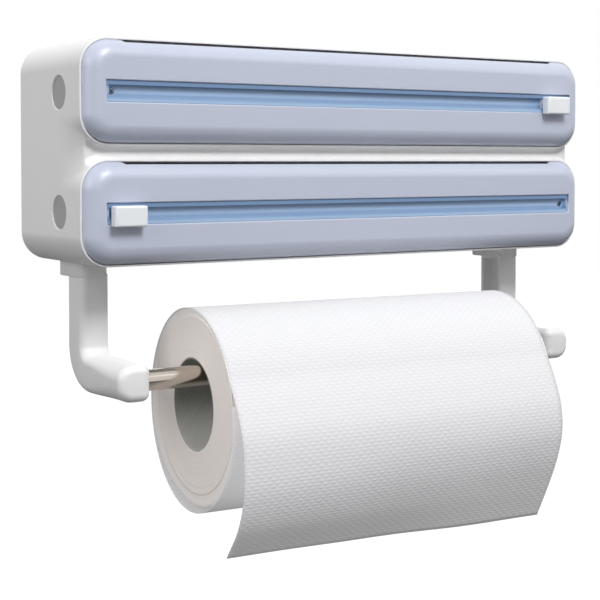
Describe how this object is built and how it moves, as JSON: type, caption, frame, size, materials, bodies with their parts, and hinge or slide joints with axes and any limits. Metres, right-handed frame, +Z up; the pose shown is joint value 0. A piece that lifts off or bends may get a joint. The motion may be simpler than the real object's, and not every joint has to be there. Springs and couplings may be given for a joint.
{
  "type": "wall-mounted kitchen roll dispenser",
  "caption": "Wall-mounted kitchen dispenser: film pods with hinged covers and sliding cutters over arms that carry a sprung bar and a paper roll.",
  "frame": {"origin": "centre of the four wall screw holes, on the back face", "axes": "+X to the right as seen from the front, +Y into the wall, +Z up"},
  "size_m": [0.39, 0.1652, 0.307],
  "materials": {
    "case_white": "fine satin moulded ABS",
    "cover_blue_grey": "semi-gloss moulded ABS",
    "rail_blue": "translucent moulded styrene",
    "slider_white": "gloss moulded ABS",
    "button_grey": "fine satin moulded ABS",
    "bar_chrome": "polished",
    "steel": "plain",
    "paper": "embossed two-ply tissue",
    "cardboard": "grey board"
  },
  "bodies": {
    "case": {"back_case": "case_white", "left_arm": "case_white", "right_arm": "case_white", "arm_screws": "steel", "button_retainers": "case_white", "upper_left_spring": "steel", "upper_right_spring": "steel", "lower_left_spring": "steel", "lower_right_spring": "steel", "paper_tail": "paper"},
    "upper_cover": {"upper_cover": "cover_blue_grey", "upper_rail": "rail_blue", "upper_rail_screws": "steel", "upper_hinge_pins": "steel", "upper_latches": "case_white"},
    "upper_cutter": {"upper_slider": "slider_white", "upper_blade": "steel"},
    "upper_left_button": {"upper_left_button": "button_grey"},
    "upper_right_button": {"upper_right_button": "button_grey"},
    "lower_cover": {"lower_cover": "cover_blue_grey", "lower_rail": "rail_blue", "lower_rail_screws": "steel", "lower_hinge_pins": "steel", "lower_latches": "case_white"},
    "lower_cutter": {"lower_slider": "slider_white", "lower_blade": "steel"},
    "lower_left_button": {"lower_left_button": "button_grey"},
    "lower_right_button": {"lower_right_button": "button_grey"},
    "bar": {"bar_tube": "bar_chrome", "bar_spring": "steel"},
    "bar_plunger": {"bar_plunger": "bar_chrome"},
    "paper_roll": {"paper_roll": "paper", "roll_core": "cardboard"}
  },
  "joints": [
    {"name": "upper_cover_hinge", "type": "hinge", "parent": "case", "child": "upper_cover", "pos_m": [0, -0.0905, 0.0123], "axis": [1, 0, 0], "range_deg": [0, 90], "deforming": ["upper_latches"]},
    {"name": "upper_cutter_slide", "type": "slide", "parent": "upper_cover", "child": "upper_cutter", "axis": [1, 0, 0], "range_m": [-0.3345, 0.0035]},
    {"name": "upper_left_button_press", "type": "slide", "parent": "case", "child": "upper_left_button", "axis": [1, 0, 0], "range_m": [0, 0.003], "stiffness_N_per_m": 400, "springref_m": -0.004, "deforming": ["upper_left_spring", "upper_latches"]},
    {"name": "upper_right_button_press", "type": "slide", "parent": "case", "child": "upper_right_button", "axis": [-1, 0, 0], "range_m": [0, 0.003], "stiffness_N_per_m": 400, "springref_m": -0.004, "deforming": ["upper_right_spring", "upper_latches"]},
    {"name": "lower_cover_hinge", "type": "hinge", "parent": "case", "child": "lower_cover", "pos_m": [0, -0.0905, -0.0588], "axis": [1, 0, 0], "range_deg": [0, 90], "deforming": ["lower_latches"]},
    {"name": "lower_cutter_slide", "type": "slide", "parent": "lower_cover", "child": "lower_cutter", "axis": [1, 0, 0], "range_m": [0, 0.338]},
    {"name": "lower_left_button_press", "type": "slide", "parent": "case", "child": "lower_left_button", "axis": [1, 0, 0], "range_m": [0, 0.003], "stiffness_N_per_m": 400, "springref_m": -0.004, "deforming": ["lower_left_spring", "lower_latches"]},
    {"name": "lower_right_button_press", "type": "slide", "parent": "case", "child": "lower_right_button", "axis": [-1, 0, 0], "range_m": [0, 0.003], "stiffness_N_per_m": 400, "springref_m": -0.004, "deforming": ["lower_right_spring", "lower_latches"]},
    {"name": "bar_spin", "type": "hinge", "parent": "case", "child": "bar", "pos_m": [0, -0.0915, -0.1348], "axis": [1, 0, 0], "continuous": true},
    {"name": "bar_plunger_slide", "type": "slide", "parent": "bar", "child": "bar_plunger", "axis": [-1, 0, 0], "range_m": [0, 0.009], "stiffness_N_per_m": 300, "springref_m": -0.01, "deforming": ["bar_spring"]},
    {"name": "roll_spin", "type": "hinge", "parent": "case", "child": "paper_roll", "pos_m": [-0.0015, -0.0915, -0.15399], "axis": [0.9976, -0.0698, 0], "continuous": true}
  ]
}
